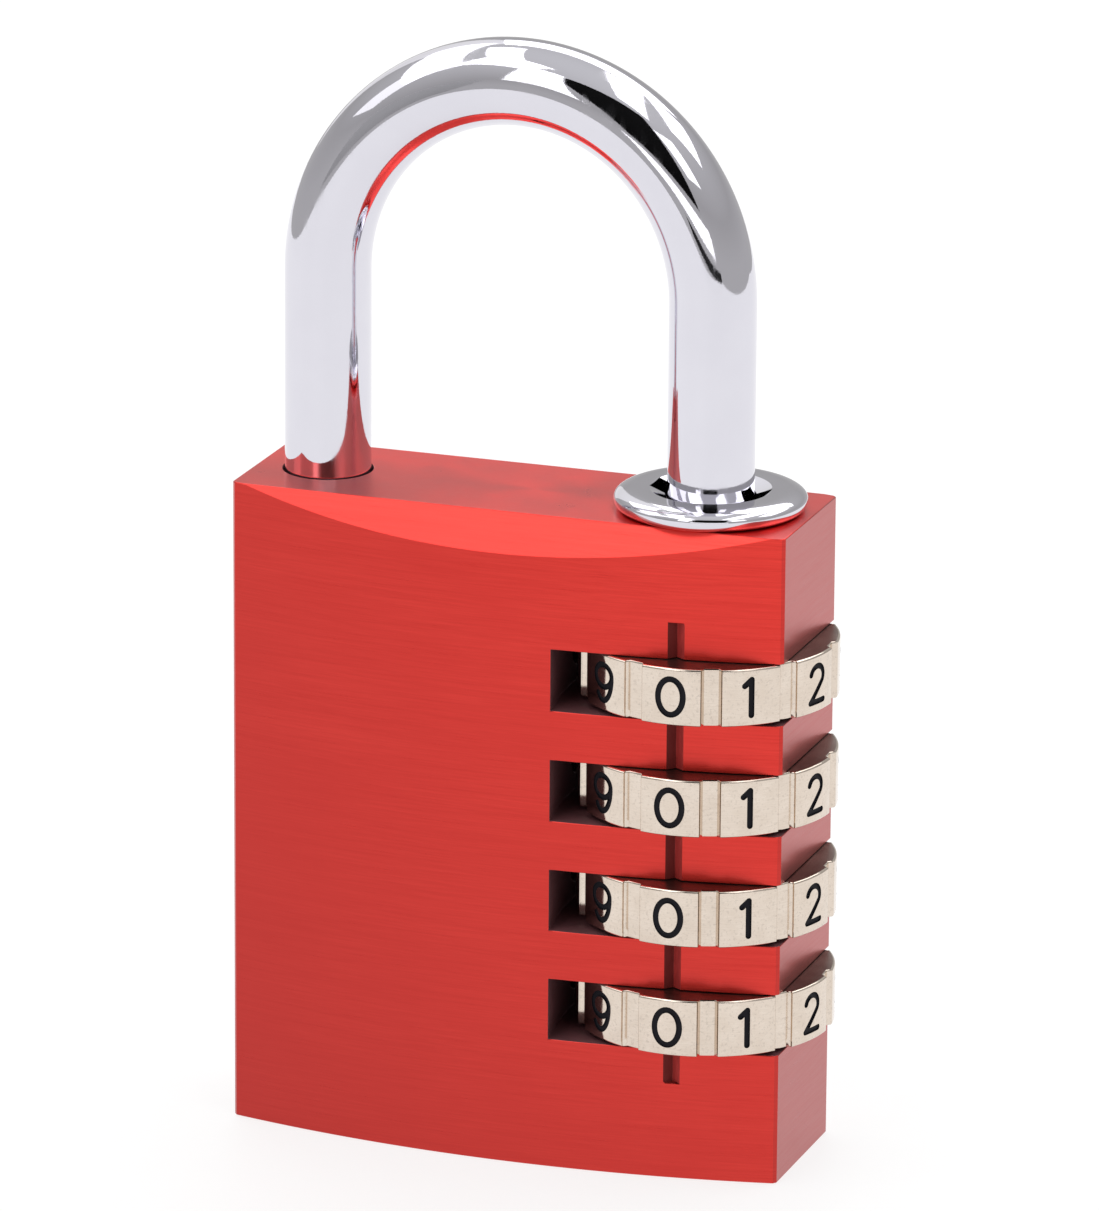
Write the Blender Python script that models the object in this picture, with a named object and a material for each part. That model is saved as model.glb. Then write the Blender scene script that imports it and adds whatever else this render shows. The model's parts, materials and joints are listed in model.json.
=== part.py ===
"""Combination padlock with four dials, a chromed bow shackle and an anodised aluminium body.

Frame: the origin is the centre of the body's underside, +Z is up, -Y is the front, which carries the
index line, and +X is the side that the dials stand out of. The shackle's heel and all the dials share one
vertical axis. The lock is closed, and every dial shows the digit of its opening code on the index line.
"""

import math

import bmesh
import bpy
from mathutils import Vector

MM = 0.001

# Body
BODY_WIDTH = 40.0 * MM
BODY_EDGE_DEPTH = 11.4 * MM  # front to back at the side faces
BODY_BULGE = 2.3 * MM  # how far the front and the back bow out at mid-width
BODY_HEIGHT = 46.2 * MM
BODY_CORNER = 0.2 * MM  # small flat on the four upright corners
CREST_DROP = 2.4 * MM  # how far the crescent chamfer reaches down at mid-width
CREST_START = 0.2 * MM  # the chamfer starts this far outside the side faces' corners

# The two upright axes of the shackle
HEEL_X = 12.8 * MM
TOE_X = -15.1 * MM

# Dials and their slots
DIAL_COUNT = 4
DIAL_DIGITS = 10
DIAL_PITCH = 7.89 * MM
DIAL_RADIUS = 9.0 * MM
DIAL_HEIGHT = 4.1 * MM
TOP_DIAL_Z = 35.17 * MM  # centre height of dial 1
SLOT_HEIGHT = 4.36 * MM
SLOT_END_X = 3.3 * MM  # the slots' closed end, at mid-depth
SLOT_SAW_RADIUS = 40.0 * MM  # the saw leaves the closed end hollow
GROOVE_DEPTH = 0.55 * MM
GROOVE_FLOOR_DEG = 6.0
GROOVE_MOUTH_DEG = 10.0
DIAL_EDGE = 0.25 * MM  # chamfer on the rims of the lands

# Sunk index line
INDEX_WIDTH = 1.15 * MM
INDEX_DEPTH = 0.5 * MM
INDEX_BOTTOM_Z = 6.9 * MM
INDEX_TOP_Z = 39.9 * MM

# Shackle
ROD_RADIUS = 3.0 * MM
BEND_Z = 60.5 * MM  # where the legs end and the bend starts
BEND_RISE = 14.3 * MM  # height of the bend's centre line over BEND_Z
TOE_DEPTH = 5.0 * MM  # how deep the closed toe sits in the body
ROD_TIP = 0.8 * MM  # chamfer on the toe and on the heel's shoulder
SHANK_RADIUS = 2.1 * MM
PILOT_RADIUS = 1.1 * MM  # the shank's tip, inside the lift spring
PILOT_LENGTH = 1.0 * MM
FIN_RADIUS = 3.95 * MM
FIN_WIDTH = 1.7 * MM
FIN_HEIGHT = 2.0 * MM
FIN_GAP = 0.4 * MM  # from a fin up to its hub's web
SHANK_TAIL = 0.8 * MM  # from the lowest fin down to the end of the shank

# Code hubs
HUB_RADIUS = 4.85 * MM
HUB_BORE_RADIUS = 4.15 * MM
HUB_LENGTH = 7.79 * MM
WEB_THICKNESS = 1.6 * MM
WEB_HOLE_RADIUS = 2.35 * MM
GATE_WIDTH = 2.1 * MM
TOOTH_RADIUS = 5.35 * MM
TOOTH_HEIGHT = 3.0 * MM
TOOTH_DEG = 12.0
DIAL_BORE_RADIUS = 5.0 * MM
NOTCH_RADIUS = 5.5 * MM
NOTCH_DEG = 15.0

# Bores in the body, all on the heel axis, and the toe's hole
MAIN_BORE_RADIUS = 5.55 * MM
LEDGE_RADIUS = 4.2 * MM  # the hub stack is held up against this ledge
LEDGE_THICKNESS = 2.3 * MM
TOE_HOLE_RADIUS = 3.15 * MM
TOE_HOLE_DEPTH = 6.0 * MM

# Collar
COLLAR_RADIUS = 6.65 * MM
COLLAR_FLAT_RADIUS = 5.25 * MM
COLLAR_FOOT_RADIUS = 6.1 * MM
COLLAR_RISE = 1.42 * MM  # height over the body's top
COLLAR_SINK_RADIUS = 4.2 * MM  # the shallow cone that leads into the hole
COLLAR_SINK_DEPTH = 0.45 * MM
SPIGOT_RADIUS = 5.0 * MM
GUIDE_RADIUS = 3.1 * MM  # the heel slides in this part of the collar

# Parts under the hubs
PLUG_BOTTOM_Z = 0.3 * MM
PLUG_TOP_Z = 2.8 * MM
WASHER_BOTTOM_Z = 6.6 * MM
WASHER_THICKNESS = 0.6 * MM
PLUG_EDGE = 0.3 * MM
HUB_SPRING_WIRE = 0.7 * MM
HUB_SPRING_RADIUS = 4.85 * MM
HUB_SPRING_TURNS = 3
LIFT_SPRING_WIRE = 0.5 * MM
LIFT_SPRING_RADIUS = 1.7 * MM
LIFT_SPRING_TURNS = 5

# Clicks
BALL_RADIUS = 1.0 * MM
BALL_HOLE_RADIUS = 1.1 * MM
BALL_HOLE_END_X = -0.6 * MM
CLICK_SPRING_WIRE = 0.25 * MM
CLICK_SPRING_RADIUS = 0.75 * MM
CLICK_SPRING_TURNS = 4

FIT_GAP = 0.05 * MM  # between pieces that touch on the real lock
PAST = 2.0 * MM  # how far a cutter runs past the face that it opens
ROOT = 0.3 * MM  # how far a tooth starts inside its sleeve, or a notch inside its bore
NOTCH_PLAY = 0.12 * MM  # from a fin's tip to the end of the collar's notch
ROUND_STEPS = 36  # sides of a turned piece and of the hole it sits in

DIAL_Z = [TOP_DIAL_Z - i * DIAL_PITCH for i in range(DIAL_COUNT)]
BULGE_RADIUS = ((BODY_WIDTH / 2) ** 2 + BODY_BULGE**2) / (2 * BODY_BULGE)
LEDGE_Z = DIAL_Z[0] + HUB_LENGTH / 2 + FIT_GAP
TOP_FIN_Z = DIAL_Z[0] - WEB_THICKNESS / 2 - FIN_GAP
# One pitch of lift brings each fin from under its own web to under the next web up, where the top fin
# meets the collar. The dials are free to turn at both ends of the travel.
LIFT = DIAL_PITCH
COLLAR_BOTTOM_Z = TOP_FIN_Z + LIFT + FIT_GAP
COLLAR_TOP_Z = BODY_HEIGHT + COLLAR_RISE
SHANK_TOP_Z = DIAL_Z[0] + WEB_THICKNESS / 2 + FIN_GAP
SHANK_BOTTOM_Z = DIAL_Z[-1] - WEB_THICKNESS / 2 - FIN_GAP - FIN_HEIGHT - SHANK_TAIL
LIFT_SPRING_BOTTOM_Z = PLUG_TOP_Z + FIT_GAP


def clear_scene():
    for obj in list(bpy.data.objects):
        bpy.data.objects.remove(obj, do_unlink=True)


def material(name, colour, roughness, metallic):
    made = bpy.data.materials.new(name)
    made.use_nodes = True
    shader = made.node_tree.nodes["Principled BSDF"]
    shader.inputs["Base Color"].default_value = (*colour, 1.0)
    shader.inputs["Roughness"].default_value = roughness
    shader.inputs["Metallic"].default_value = metallic
    made.diffuse_color = (*colour, 1.0)
    return made


def add_object(name, data, place, finish):
    obj = bpy.data.objects.new(name, data)
    obj.location = place
    bpy.context.scene.collection.objects.link(obj)
    if finish:
        data.materials.append(finish)
    return obj


def add_mesh(name, bm, place=(0, 0, 0), finish=None, smooth_deg=30):
    """An object made from bm. Without a finish it is a cutter, which is left out of renders."""
    bmesh.ops.remove_doubles(bm, verts=bm.verts, dist=1e-7)
    bmesh.ops.recalc_face_normals(bm, faces=bm.faces)
    mesh = bpy.data.meshes.new(name)
    bm.to_mesh(mesh)
    bm.free()
    obj = add_object(name, mesh, place, finish)
    if finish:
        mesh.shade_smooth()
        mesh.set_sharp_from_angle(angle=math.radians(smooth_deg))
    else:
        obj.hide_render = True
        obj.display_type = "WIRE"
    return obj


def boolean(target, other, operation="DIFFERENCE"):
    modifier = target.modifiers.new(f"{operation.lower()} {other.name}", "BOOLEAN")
    modifier.operation = operation
    modifier.solver = "EXACT"
    modifier.object = other


def polar(radius, degrees):
    angle = math.radians(degrees)
    return (radius * math.cos(angle), radius * math.sin(angle))


def arc(centre, radius, start_deg, end_deg, steps):
    """Points of an arc, both ends included."""
    for i in range(steps + 1):
        x, y = polar(radius, start_deg + (end_deg - start_deg) * i / steps)
        yield (centre[0] + x, centre[1] + y)


def add_prism(bm, outline, bottom, top):
    """Adds the outline, extruded from one height to the other."""
    face = bm.faces.new([bm.verts.new((x, y, bottom)) for x, y in outline])
    grown = bmesh.ops.extrude_face_region(bm, geom=[face])
    lifted = [v for v in grown["geom"] if isinstance(v, bmesh.types.BMVert)]
    bmesh.ops.translate(bm, verts=lifted, vec=(0, 0, top - bottom))


def prism(outline, bottom, top):
    bm = bmesh.new()
    add_prism(bm, outline, bottom, top)
    return bm


def turned(profile, steps=ROUND_STEPS):
    """The profile of (radius, height) points, turned round the Z axis. It is a closed loop, or it runs
    from the axis to the axis."""
    bm = bmesh.new()
    verts = [bm.verts.new((radius, 0, height)) for radius, height in profile]
    on_axis = profile[0][0] == 0 and profile[-1][0] == 0
    ends = verts[1:] if on_axis else verts[1:] + verts[:1]
    edges = [bm.edges.new(pair) for pair in zip(verts, ends)]
    bmesh.ops.spin(
        bm,
        geom=verts + edges,
        axis=(0, 0, 1),
        cent=(0, 0, 0),
        angle=math.tau,
        steps=steps,
        use_merge=True,
    )
    return bm


def cylinder(radius, bottom, top, steps=ROUND_STEPS):
    return turned([(0, top), (radius, top), (radius, bottom), (0, bottom)], steps)


def sector(inner, outer, middle_deg, inner_deg, outer_deg, steps=1):
    """Outline of a tooth or a groove: a piece of a ring, whose two arcs may span different angles."""
    inside = arc((0, 0), inner, middle_deg - inner_deg / 2, middle_deg + inner_deg / 2, steps)
    outside = arc((0, 0), outer, middle_deg + outer_deg / 2, middle_deg - outer_deg / 2, steps)
    return [*inside, *outside]


def around_dial(outline_at, bottom, top, offset_deg):
    """One mesh with a prism at each digit, or at each gap between digits."""
    bm = bmesh.new()
    for digit in range(DIAL_DIGITS):
        middle = -90 + offset_deg + digit * 360 / DIAL_DIGITS
        add_prism(bm, outline_at(middle), bottom, top)
    return bm


def coil(name, radius, wire, turns, start, end, axis, finish, steps=12):
    """A spring of round wire, wound round the axis from start to end."""
    curve = bpy.data.curves.new(name, "CURVE")
    curve.dimensions = "3D"
    curve.bevel_depth = wire / 2
    curve.bevel_resolution = 1
    curve.use_fill_caps = True
    spline = curve.splines.new("POLY")
    count = int(turns * steps) + 1
    spline.points.add(count - 1)
    across = Vector((1, 0, 0)) if axis == "Z" else Vector((0, 1, 0))
    along = Vector((0, 0, 1)) if axis == "Z" else Vector((1, 0, 0))
    other = along.cross(across)
    for i, point in enumerate(spline.points):
        turn = math.tau * i / steps
        place = across * radius * math.cos(turn) + other * radius * math.sin(turn)
        place += along * (start + (end - start) * i / (count - 1))
        point.co = (*place, 1)
    return add_object(name, curve, (0, 0, 0), finish)


def half_depth(x):
    """From mid-depth to the bulging front or back, at a place across the width."""
    return BODY_EDGE_DEPTH / 2 + BODY_BULGE - (BULGE_RADIUS - math.sqrt(BULGE_RADIUS**2 - x * x))


def body_outline(steps=20):
    side = BODY_WIDTH / 2
    xs = [side - BODY_CORNER - (BODY_WIDTH - 2 * BODY_CORNER) * i / steps for i in range(steps + 1)]
    back = [(x, half_depth(x)) for x in xs]
    left = [(-side, BODY_EDGE_DEPTH / 2 - BODY_CORNER), (-side, BODY_CORNER - BODY_EDGE_DEPTH / 2)]
    front = [(-x, -y) for x, y in back]
    right = [(-x, -y) for x, y in left]
    return back + left + front + right


def crest_cutter():
    """Two wedges that cut the flat crescents off the front and back top edges."""
    bm = bmesh.new()
    start = BODY_EDGE_DEPTH / 2 + CREST_START
    run = BODY_BULGE - CREST_START
    slope = CREST_DROP / run
    reach = run + PAST
    for sign in (-1, 1):
        section = [
            (sign * (start - PAST), BODY_HEIGHT + PAST * slope),
            (sign * (start + reach), BODY_HEIGHT - reach * slope),
            (sign * (start + reach), BODY_HEIGHT + PAST * slope),
        ]
        face = bm.faces.new([bm.verts.new((-BODY_WIDTH / 2 - PAST, y, z)) for y, z in section])
        grown = bmesh.ops.extrude_face_region(bm, geom=[face])
        moved = [v for v in grown["geom"] if isinstance(v, bmesh.types.BMVert)]
        bmesh.ops.translate(bm, verts=moved, vec=(BODY_WIDTH + 2 * PAST, 0, 0))
    return add_mesh("crest_cutter", bm)


def slot_cutter():
    """One plate for each dial. Its closed end is an arc of the saw, and it is open on the other sides."""
    centre_x = SLOT_END_X + SLOT_SAW_RADIUS
    spread = math.degrees(math.asin((BODY_EDGE_DEPTH / 2 + BODY_BULGE + PAST) / SLOT_SAW_RADIUS))
    end = list(arc((centre_x, 0), SLOT_SAW_RADIUS, 180 - spread, 180 + spread, 8))
    open_x = BODY_WIDTH / 2 + PAST
    outline = [*end, (open_x, end[-1][1]), (open_x, end[0][1])]
    bm = bmesh.new()
    for z in DIAL_Z:
        add_prism(bm, outline, z - SLOT_HEIGHT / 2, z + SLOT_HEIGHT / 2)
    return add_mesh("slot_cutter", bm)


def index_cutter():
    """A V-shaped groove down the front, square to the surface where it runs."""
    left, right = (Vector((x, -half_depth(x))) for x in (HEEL_X - INDEX_WIDTH / 2, HEEL_X + INDEX_WIDTH / 2))
    inward = (right - left).normalized().orthogonal()
    bottom = (left + right) / 2 + inward * INDEX_DEPTH
    outline = [bottom, bottom + 2 * (left - bottom), bottom + 2 * (right - bottom)]
    return add_mesh("index_cutter", prism(outline, INDEX_BOTTOM_Z, INDEX_TOP_Z))


def heel_bore_cutter():
    """The stepped bore: hubs from below, the ledge that stops them, and the collar's seat from above."""
    ledge_top = LEDGE_Z + LEDGE_THICKNESS
    profile = [
        (0, BODY_HEIGHT + PAST),
        (SPIGOT_RADIUS + FIT_GAP, BODY_HEIGHT + PAST),
        (SPIGOT_RADIUS + FIT_GAP, ledge_top),
        (LEDGE_RADIUS, ledge_top),
        (LEDGE_RADIUS, LEDGE_Z),
        (MAIN_BORE_RADIUS, LEDGE_Z),
        (MAIN_BORE_RADIUS, -PAST),
        (0, -PAST),
    ]
    return add_mesh("heel_bore_cutter", turned(profile), (HEEL_X, 0, 0))


def toe_hole_cutter():
    bm = cylinder(TOE_HOLE_RADIUS, BODY_HEIGHT - TOE_HOLE_DEPTH, BODY_HEIGHT + PAST)
    return add_mesh("toe_hole_cutter", bm, (TOE_X, 0, 0))


def ball_hole_cutter(z):
    """A blind hole in a slot's closed end, along X."""
    bm = cylinder(BALL_HOLE_RADIUS, 0, SLOT_END_X - BALL_HOLE_END_X + PAST, 20)
    cutter = add_mesh("ball_hole_cutter", bm, (BALL_HOLE_END_X, 0, z))
    cutter.rotation_euler = (0, math.pi / 2, 0)
    return cutter


def make_body(finish):
    body = add_mesh("lock_body", prism(body_outline(), 0, BODY_HEIGHT), finish=finish)
    cutters = [crest_cutter(), heel_bore_cutter(), slot_cutter(), index_cutter(), toe_hole_cutter()]
    cutters += [ball_hole_cutter(z) for z in DIAL_Z]
    for cutter in cutters:
        boolean(body, cutter)


def shackle_stations():
    """(centre, direction, radius) all along the rod, from the toe's tip to the shank's tip, with the
    heel axis as x = 0."""
    up, down = Vector((0, 0, 1)), Vector((0, 0, -1))
    toe_x = TOE_X - HEEL_X
    toe_z = BODY_HEIGHT - TOE_DEPTH
    yield Vector((toe_x, 0, toe_z)), up, ROD_RADIUS - ROD_TIP
    yield Vector((toe_x, 0, toe_z + ROD_TIP)), up, ROD_RADIUS
    half_span = -toe_x / 2
    bend_steps = 24
    for i in range(bend_steps + 1):
        angle = math.pi * (1 - i / bend_steps)
        cos, sin = math.cos(angle), math.sin(angle)
        centre = Vector((toe_x / 2 + half_span * cos, 0, BEND_Z + BEND_RISE * sin))
        yield centre, Vector((half_span * sin, 0, -BEND_RISE * cos)).normalized(), ROD_RADIUS
    yield Vector((0, 0, SHANK_TOP_Z + ROD_TIP)), down, ROD_RADIUS
    yield Vector((0, 0, SHANK_TOP_Z)), down, SHANK_RADIUS
    yield Vector((0, 0, SHANK_BOTTOM_Z)), down, SHANK_RADIUS
    yield Vector((0, 0, SHANK_BOTTOM_Z)), down, PILOT_RADIUS
    yield Vector((0, 0, SHANK_BOTTOM_Z - PILOT_LENGTH)), down, PILOT_RADIUS


def shackle_rod(sides=24):
    bm = bmesh.new()
    across = Vector((0, 1, 0))
    rings = []
    for centre, direction, radius in shackle_stations():
        outward = across.cross(direction)
        turns = [math.tau * k / sides for k in range(sides)]
        places = [centre + radius * (outward * math.cos(t) + across * math.sin(t)) for t in turns]
        rings.append([bm.verts.new(place) for place in places])
    for lower, upper in zip(rings, rings[1:]):
        for k in range(sides):
            after = (k + 1) % sides
            bm.faces.new((lower[k], lower[after], upper[after], upper[k]))
    bm.faces.new(rings[0])
    bm.faces.new(rings[-1])
    return bm


def make_shackle(finish):
    """The bow, with a pair of fins under each hub's web. The fins point to the front and the back."""
    shackle = add_mesh("shackle", shackle_rod(), (HEEL_X, 0, 0), finish)
    half_deg = math.degrees(math.asin(FIN_WIDTH / 2 / FIN_RADIUS))
    outline = [
        *arc((0, 0), FIN_RADIUS, 90 - half_deg, 90 + half_deg, 4),
        *arc((0, 0), FIN_RADIUS, 270 - half_deg, 270 + half_deg, 4),
    ]
    bm = bmesh.new()
    for z in DIAL_Z:
        top = z - WEB_THICKNESS / 2 - FIN_GAP
        add_prism(bm, outline, top - FIN_HEIGHT, top)
    boolean(shackle, add_mesh("shackle_fins", bm, (HEEL_X, 0, 0)), "UNION")


def make_collar(finish):
    """A ring with a rounded rim, a shallow cone round its hole, and a spigot down into the body that guides
    the heel. Two notches at the sides let the fins out when the open shackle stands at a right angle."""
    rim_z = BODY_HEIGHT + COLLAR_RISE / 2
    half_rise = COLLAR_RISE / 2
    rim_run = COLLAR_RADIUS - COLLAR_FLAT_RADIUS
    foot_run = COLLAR_RADIUS - COLLAR_FOOT_RADIUS
    foot_rise = half_rise - FIT_GAP
    turns = [math.pi / 2 * i / 4 for i in range(5)]
    rim = [(COLLAR_FLAT_RADIUS + rim_run * math.sin(t), rim_z + half_rise * math.cos(t)) for t in turns]
    foot = [(COLLAR_FOOT_RADIUS + foot_run * math.cos(t), rim_z - foot_rise * math.sin(t)) for t in turns]
    profile = [
        (GUIDE_RADIUS, COLLAR_TOP_Z - COLLAR_SINK_DEPTH),
        (COLLAR_SINK_RADIUS, COLLAR_TOP_Z),
        *rim,
        *foot[1:],
        (SPIGOT_RADIUS, BODY_HEIGHT + FIT_GAP),
        (SPIGOT_RADIUS, COLLAR_BOTTOM_Z),
        (GUIDE_RADIUS, COLLAR_BOTTOM_Z),
    ]
    collar = add_mesh("shackle_collar", turned(profile), (HEEL_X, 0, 0), finish)
    half = GATE_WIDTH / 2
    reach = FIN_RADIUS + NOTCH_PLAY
    outline = [(-reach, -half), (reach, -half), (reach, half), (-reach, half)]
    cutter = prism(outline, COLLAR_BOTTOM_Z - PAST, COLLAR_TOP_Z + PAST)
    boolean(collar, add_mesh("collar_notch_cutter", cutter, (HEEL_X, 0, 0)))


def make_dial(number, z, grooves, notches, finish):
    """A wheel with a land for each digit, and inner notches that the hub's teeth sit in."""
    half = DIAL_HEIGHT / 2
    profile = [
        (DIAL_BORE_RADIUS, half),
        (DIAL_RADIUS - DIAL_EDGE, half),
        (DIAL_RADIUS, half - DIAL_EDGE),
        (DIAL_RADIUS, DIAL_EDGE - half),
        (DIAL_RADIUS - DIAL_EDGE, -half),
        (DIAL_BORE_RADIUS, -half),
    ]
    dial = add_mesh(f"dial_wheel_{number}", turned(profile, 50), (HEEL_X, 0, z), finish)
    for cutter in (grooves, notches):
        part = bpy.data.objects.new(f"{cutter.name}_{number}", cutter)
        part.location = dial.location
        part.hide_render = True
        part.display_type = "WIRE"
        bpy.context.scene.collection.objects.link(part)
        boolean(dial, part)


def mesh_of(name, bm):
    """A mesh that several cutters share."""
    bmesh.ops.recalc_face_normals(bm, faces=bm.faces)
    mesh = bpy.data.meshes.new(name)
    bm.to_mesh(mesh)
    bm.free()
    return mesh


def make_dials(finish):
    past = DIAL_HEIGHT
    groove_floor = DIAL_RADIUS - GROOVE_DEPTH

    def groove(middle):
        spread = GROOVE_MOUTH_DEG - GROOVE_FLOOR_DEG
        return sector(groove_floor, DIAL_RADIUS + GROOVE_DEPTH, middle, GROOVE_FLOOR_DEG,
                      GROOVE_FLOOR_DEG + 2 * spread)

    def notch(middle):
        return sector(DIAL_BORE_RADIUS - ROOT, NOTCH_RADIUS, middle, NOTCH_DEG, NOTCH_DEG)

    half_step = 180 / DIAL_DIGITS
    grooves = mesh_of("dial_groove_cutter", around_dial(groove, -past, past, half_step))
    notches = mesh_of("dial_notch_cutter", around_dial(notch, -past, past, 0))
    for i, z in enumerate(DIAL_Z):
        make_dial(i + 1, z, grooves, notches, finish)


def make_hub(number, z, finish):
    """A sleeve with a web across its middle. The web's gates let the fins through at one angle only."""
    half, web = HUB_LENGTH / 2, WEB_THICKNESS / 2
    profile = [
        (HUB_BORE_RADIUS, half),
        (HUB_RADIUS, half),
        (HUB_RADIUS, -half),
        (HUB_BORE_RADIUS, -half),
        (HUB_BORE_RADIUS, -web),
        (WEB_HOLE_RADIUS, -web),
        (WEB_HOLE_RADIUS, web),
        (HUB_BORE_RADIUS, web),
    ]
    hub = add_mesh(f"code_hub_{number}", turned(profile), (HEEL_X, 0, z), finish)

    def tooth(middle):
        return sector(HUB_RADIUS - ROOT, TOOTH_RADIUS, middle, TOOTH_DEG, TOOTH_DEG)

    teeth = around_dial(tooth, -TOOTH_HEIGHT / 2, TOOTH_HEIGHT / 2, 0)
    boolean(hub, add_mesh(f"hub_teeth_{number}", teeth, hub.location), "UNION")
    reach = (HUB_BORE_RADIUS + HUB_RADIUS) / 2
    gate = GATE_WIDTH / 2
    outline = [(-gate, -reach), (gate, -reach), (gate, reach), (-gate, reach)]
    gates = prism(outline, -2 * web, 2 * web)
    boolean(hub, add_mesh(f"hub_gate_cutter_{number}", gates, hub.location))


def make_parts_below(plug_finish, steel):
    """The spring-loaded washer that holds the hubs up, the lift spring, and the plug that closes the bore."""
    radius = MAIN_BORE_RADIUS - 2 * FIT_GAP
    plug = [
        (0, PLUG_TOP_Z),
        (radius, PLUG_TOP_Z),
        (radius, PLUG_BOTTOM_Z + PLUG_EDGE),
        (radius - PLUG_EDGE, PLUG_BOTTOM_Z),
        (0, PLUG_BOTTOM_Z),
    ]
    add_mesh("base_plug", turned(plug), (HEEL_X, 0, 0), plug_finish)
    washer = [
        (HUB_BORE_RADIUS, WASHER_THICKNESS),
        (TOOTH_RADIUS, WASHER_THICKNESS),
        (TOOTH_RADIUS, 0),
        (HUB_BORE_RADIUS, 0),
    ]
    add_mesh("hub_washer", turned(washer), (HEEL_X, 0, WASHER_BOTTOM_Z), steel)
    inset = HUB_SPRING_WIRE / 2 + FIT_GAP
    hub_spring = coil("hub_spring", HUB_SPRING_RADIUS, HUB_SPRING_WIRE, HUB_SPRING_TURNS,
                      PLUG_TOP_Z + inset, WASHER_BOTTOM_Z - inset, "Z", steel, steps=18)
    hub_spring.location = (HEEL_X, 0, 0)
    inset = LIFT_SPRING_WIRE / 2
    lift_spring = coil("lift_spring", LIFT_SPRING_RADIUS, LIFT_SPRING_WIRE, LIFT_SPRING_TURNS,
                       LIFT_SPRING_BOTTOM_Z + inset, SHANK_BOTTOM_Z - inset - FIT_GAP, "Z", steel)
    lift_spring.location = (HEEL_X, 0, 0)


def make_clicks(steel):
    """A sprung ball behind each dial. It stands at the circle that the lands' tips turn on."""
    ball_x = HEEL_X - DIAL_RADIUS - BALL_RADIUS - FIT_GAP
    inset = CLICK_SPRING_WIRE / 2 + FIT_GAP
    for i, z in enumerate(DIAL_Z):
        bm = bmesh.new()
        bmesh.ops.create_uvsphere(bm, u_segments=12, v_segments=8, radius=BALL_RADIUS)
        add_mesh(f"click_ball_{i + 1}", bm, (ball_x, 0, z), steel, smooth_deg=60)
        spring = coil(f"click_spring_{i + 1}", CLICK_SPRING_RADIUS, CLICK_SPRING_WIRE, CLICK_SPRING_TURNS,
                      BALL_HOLE_END_X + inset, ball_x - BALL_RADIUS * 0.7 - inset, "X", steel, steps=8)
        spring.location = (0, 0, z)


def main():
    clear_scene()
    red = material("red_anodised_aluminium", (0.55, 0.035, 0.03), 0.38, 1.0)
    chrome = material("chrome", (0.78, 0.77, 0.8), 0.08, 1.0)
    nickel = material("satin_nickel", (0.72, 0.66, 0.6), 0.3, 1.0)
    brass = material("brass", (0.75, 0.55, 0.25), 0.3, 1.0)
    steel = material("spring_steel", (0.5, 0.5, 0.5), 0.3, 1.0)
    make_body(red)
    make_shackle(chrome)
    make_collar(chrome)
    make_dials(nickel)
    for i, z in enumerate(DIAL_Z):
        make_hub(i + 1, z, brass)
    make_parts_below(red, steel)
    make_clicks(steel)


main()
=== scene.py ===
"""The looks of the combination padlock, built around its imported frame.

Lengths are in metres. +Z is up, -Y is the front with the index line, and +X is the side that the dials
stand out of. Places come from the frame's boxes and joints, and the sizes named below are those that a box
can't give.
"""

import json
import math

import bmesh
import bpy
from mathutils import Matrix, Quaternion, Vector

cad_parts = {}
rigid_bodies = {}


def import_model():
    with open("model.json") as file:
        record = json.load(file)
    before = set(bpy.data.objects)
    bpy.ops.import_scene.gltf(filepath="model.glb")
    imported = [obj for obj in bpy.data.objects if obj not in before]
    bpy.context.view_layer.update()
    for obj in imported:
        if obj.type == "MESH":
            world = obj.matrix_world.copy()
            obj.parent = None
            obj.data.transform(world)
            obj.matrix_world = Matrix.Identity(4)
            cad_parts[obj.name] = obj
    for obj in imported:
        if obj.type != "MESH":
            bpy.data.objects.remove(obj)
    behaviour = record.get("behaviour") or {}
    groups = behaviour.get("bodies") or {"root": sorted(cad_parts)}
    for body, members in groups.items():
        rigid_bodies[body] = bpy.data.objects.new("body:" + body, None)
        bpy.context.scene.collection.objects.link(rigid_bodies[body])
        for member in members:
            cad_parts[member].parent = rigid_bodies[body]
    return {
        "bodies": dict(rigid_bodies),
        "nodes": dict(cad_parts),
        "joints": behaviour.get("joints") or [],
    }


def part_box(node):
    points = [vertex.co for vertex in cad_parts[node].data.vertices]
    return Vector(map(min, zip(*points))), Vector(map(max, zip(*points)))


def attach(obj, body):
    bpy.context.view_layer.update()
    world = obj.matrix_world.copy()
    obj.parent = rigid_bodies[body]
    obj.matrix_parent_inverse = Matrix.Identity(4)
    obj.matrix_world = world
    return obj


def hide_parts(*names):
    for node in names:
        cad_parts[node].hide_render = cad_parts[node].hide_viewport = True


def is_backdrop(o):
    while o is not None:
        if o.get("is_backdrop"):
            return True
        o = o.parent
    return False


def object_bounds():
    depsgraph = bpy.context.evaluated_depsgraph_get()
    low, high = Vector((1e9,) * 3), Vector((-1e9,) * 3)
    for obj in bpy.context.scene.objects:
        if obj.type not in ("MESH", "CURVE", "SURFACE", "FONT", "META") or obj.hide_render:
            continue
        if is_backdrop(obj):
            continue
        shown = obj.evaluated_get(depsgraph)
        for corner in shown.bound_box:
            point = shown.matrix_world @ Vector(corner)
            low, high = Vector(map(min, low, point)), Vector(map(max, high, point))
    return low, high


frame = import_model()
cad_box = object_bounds()

MM = 0.001
PAST = 2.0 * MM  # how far a cutter runs past the face that it opens
NEARLY_LEVEL = 0.999  # the least upward share of the normal of a face that counts as level
WELD = 1e-8  # points closer than this become one

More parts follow.
